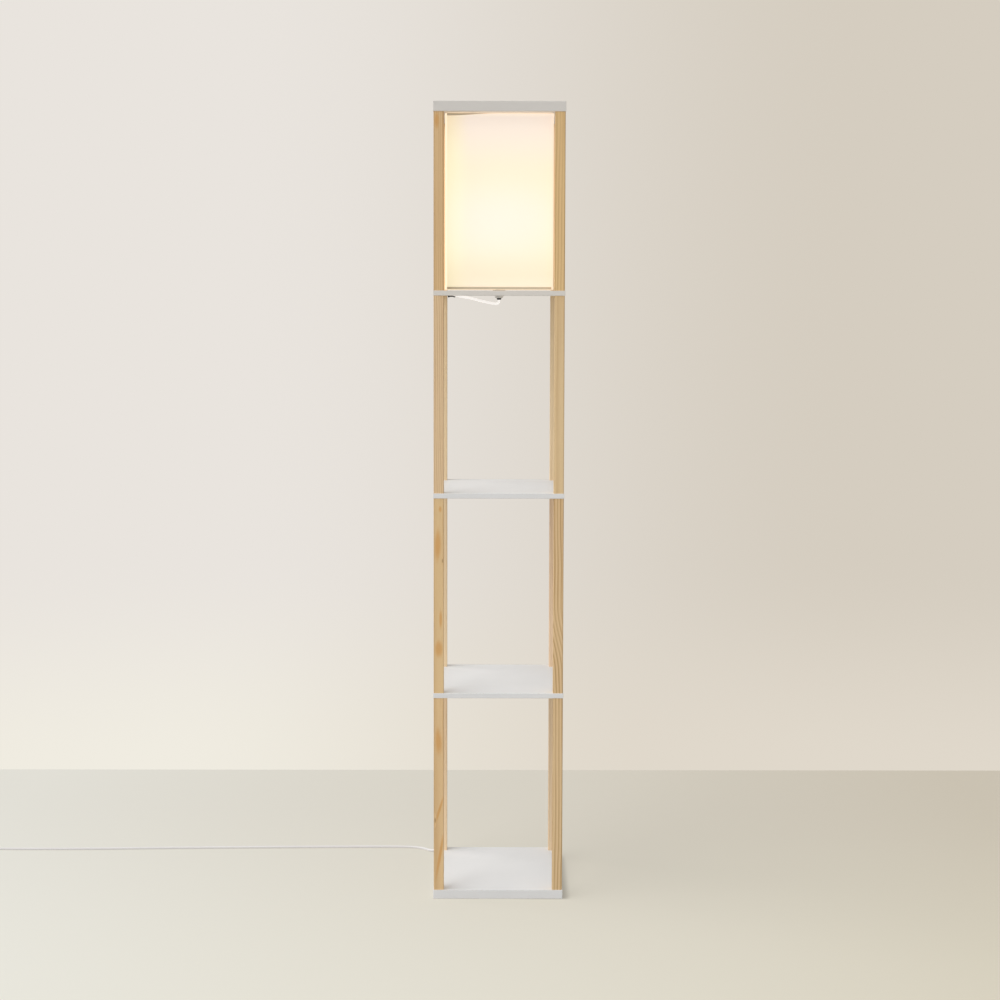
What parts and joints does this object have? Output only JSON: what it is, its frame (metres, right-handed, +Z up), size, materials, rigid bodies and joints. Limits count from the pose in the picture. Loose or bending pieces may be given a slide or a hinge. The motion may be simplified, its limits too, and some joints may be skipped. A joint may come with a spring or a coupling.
{
  "type": "shelf floor lamp",
  "caption": "Square pine floor lamp with white open shelves, a glowing fabric shade in its top bay, a foot switch and a corded plug.",
  "frame": {"origin": "centre of the base board's underside, on the floor", "axes": "+X right, +Y to the back (the front faces -Y), +Z up the lamp"},
  "size_m": [1.304, 0.3102, 1.59],
  "materials": {
    "white_lacquer": "satin",
    "pine": "satin",
    "beech": "matte",
    "zinc_steel": "satin",
    "white_wire": "satin",
    "shade_linen": "matte",
    "holder_white": "satin",
    "brass": "satin",
    "frosted_dome": "matte",
    "bulb_white": "satin",
    "bare_aluminium": "satin",
    "black_plastic": "satin",
    "lead_white": "satin",
    "fitting_white": "satin"
  },
  "bodies": {
    "lamp": {"base_board": "white_lacquer", "lower_shelf": "white_lacquer", "middle_shelf": "white_lacquer", "upper_shelf": "white_lacquer", "bottom_bay_post_front_left": "pine", "bottom_bay_post_front_right": "pine", "bottom_bay_post_rear_left": "pine", "bottom_bay_post_rear_right": "pine", "middle_bay_post_front_left": "pine", "middle_bay_post_front_right": "pine", "middle_bay_post_rear_left": "pine", "middle_bay_post_rear_right": "pine", "upper_bay_post_front_left": "pine", "upper_bay_post_front_right": "pine", "upper_bay_post_rear_left": "pine", "upper_bay_post_rear_right": "pine", "lamp_bay_post_front_left": "pine", "lamp_bay_post_front_right": "pine", "lamp_bay_post_rear_left": "pine", "lamp_bay_post_rear_right": "pine", "cap_dowels": "beech", "base_bolts": "zinc_steel", "hanger_bolts": "zinc_steel", "post_inserts": "zinc_steel", "stem_nut": "zinc_steel", "lower_washer": "zinc_steel", "upper_washer": "zinc_steel", "clip_nails": "zinc_steel", "clamp_screws": "zinc_steel", "switch_screws": "zinc_steel", "holder_stem": "zinc_steel", "holder_spacer": "zinc_steel", "shade_top_frame": "white_wire", "shade_bottom_frame": "white_wire", "shade_fabric": "shade_linen", "holder_cover": "holder_white", "holder_body": "holder_white", "shade_ring": "holder_white", "holder_screw_shell": "brass", "holder_centre_contact": "brass", "plug_blades": "brass", "lead_bush": "black_plastic", "lead_clamp": "black_plastic", "switch_module": "black_plastic", "held_lead": "lead_white", "floor_lead": "lead_white", "lead_tail": "lead_white", "lead_coil": "lead_white", "coil_tie": "lead_white", "lead_clips": "fitting_white", "switch_lower_case": "fitting_white", "switch_upper_case": "fitting_white", "plug_body": "fitting_white"},
    "cap": {"top_cap": "white_lacquer"},
    "bulb": {"bulb_diffuser": "frosted_dome", "bulb_housing": "bulb_white", "bulb_light_board": "bulb_white", "bulb_screw_cap": "bare_aluminium", "bulb_contact": "black_plastic"},
    "button": {"switch_button": "fitting_white"}
  },
  "joints": [
    {"name": "cap_lift", "type": "slide", "parent": "lamp", "child": "cap", "axis": [0, 0, 1], "range_m": [0, 0.2]},
    {"name": "bulb_turn", "type": "hinge", "parent": "lamp", "child": "bulb", "pos_m": [0, 0, 1.29], "axis": [0, 0, 1], "range_deg": [0, 1440]},
    {"name": "switch_press", "type": "slide", "parent": "lamp", "child": "button", "axis": [0, 0, -1], "range_m": [0, 0.003], "stiffness_N_per_m": 800}
  ]
}
